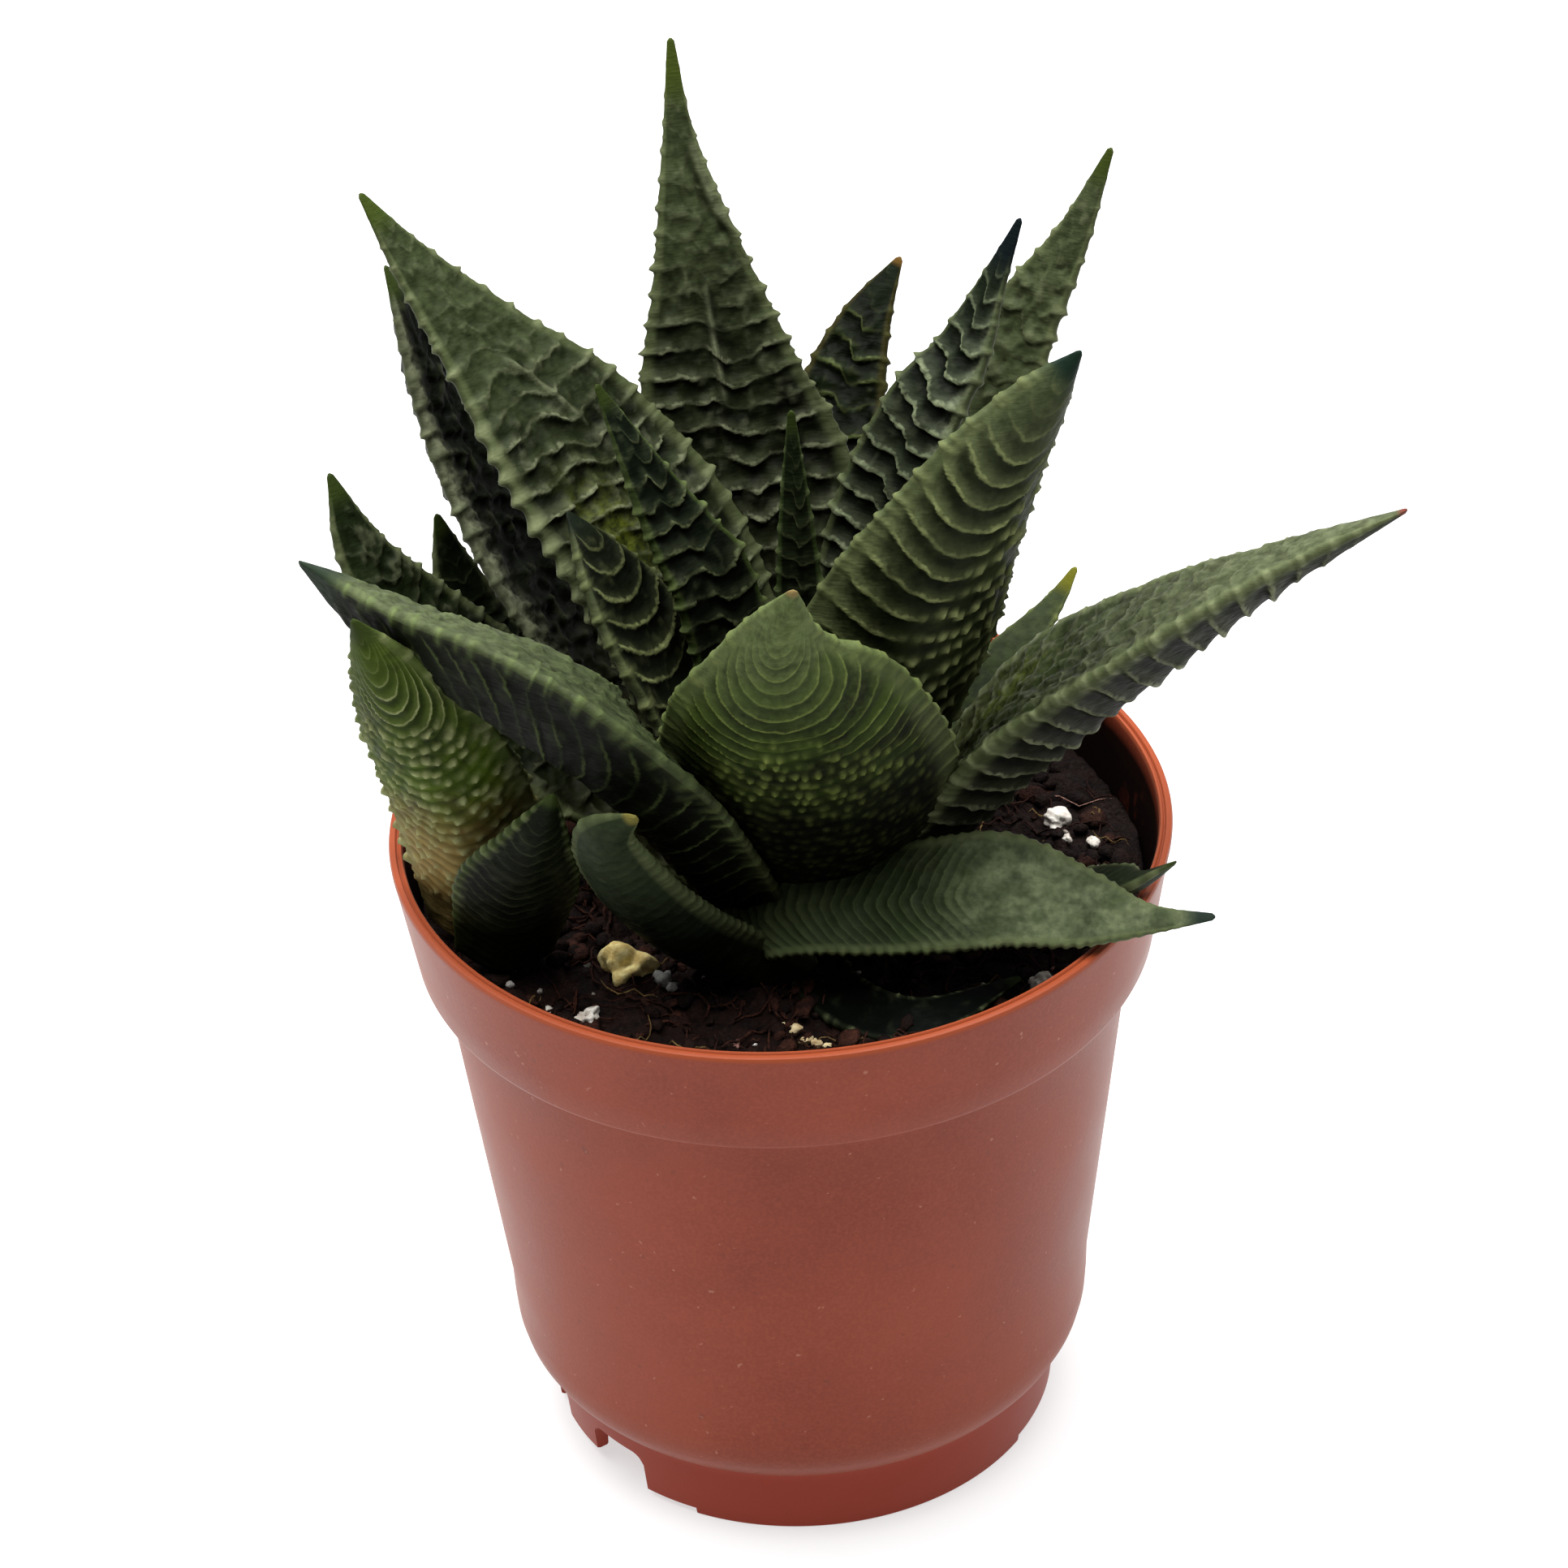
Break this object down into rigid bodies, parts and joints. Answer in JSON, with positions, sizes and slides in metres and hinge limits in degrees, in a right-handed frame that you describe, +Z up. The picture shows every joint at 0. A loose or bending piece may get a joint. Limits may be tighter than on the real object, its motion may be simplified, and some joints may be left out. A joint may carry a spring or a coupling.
{
  "type": "potted haworthia",
  "caption": "Small haworthia: a rosette of thick keeled leaves with pale cross ridges and toothed margins, and a young offset, in a terracotta-coloured plastic nursery pot.",
  "frame": {"origin": "middle of the whole plant's footprint, at the ground under the pot's foot", "axes": "+Z up; -Y towards the viewer of the picture; +X to the viewer's right"},
  "size_m": [0.0739, 0.0608, 0.0986],
  "materials": {
    "pot": "satin",
    "soil": "matte",
    "grain_yellow": "matte",
    "grain_white": "matte",
    "stem": "satin",
    "leaf_green": "satin",
    "leaf_dark": "satin",
    "leaf_fresh": "satin"
  },
  "bodies": {
    "root": {"pot": "pot", "soil": "soil", "grain_yellow": "grain_yellow", "grain_white_left": "grain_white", "grain_white_right": "grain_white", "grain_white_front": "grain_white", "stem_main": "stem", "stem_offset": "stem", "leaf_young_centre": "leaf_dark", "leaf_young_left": "leaf_dark", "leaf_right_narrow": "leaf_dark", "leaf_right_front": "leaf_fresh", "leaf_left_inner": "leaf_dark", "leaf_left_big": "leaf_green", "leaf_back_tall": "leaf_green", "leaf_front_centre": "leaf_fresh", "leaf_right_far": "leaf_green", "leaf_right_long": "leaf_green", "leaf_left_long": "leaf_green", "leaf_back_right": "leaf_dark", "leaf_left_back": "leaf_dark", "leaf_left_far": "leaf_green", "leaf_left_far_small": "leaf_dark", "leaf_right_small": "leaf_fresh", "leaf_low_left": "leaf_dark", "leaf_low_right": "leaf_green", "leaf_rim_right": "leaf_dark", "leaf_low_front": "leaf_dark", "offset_leaf_tall": "leaf_fresh", "offset_leaf_front": "leaf_dark", "offset_leaf_side": "leaf_fresh"}
  },
  "joints": []
}
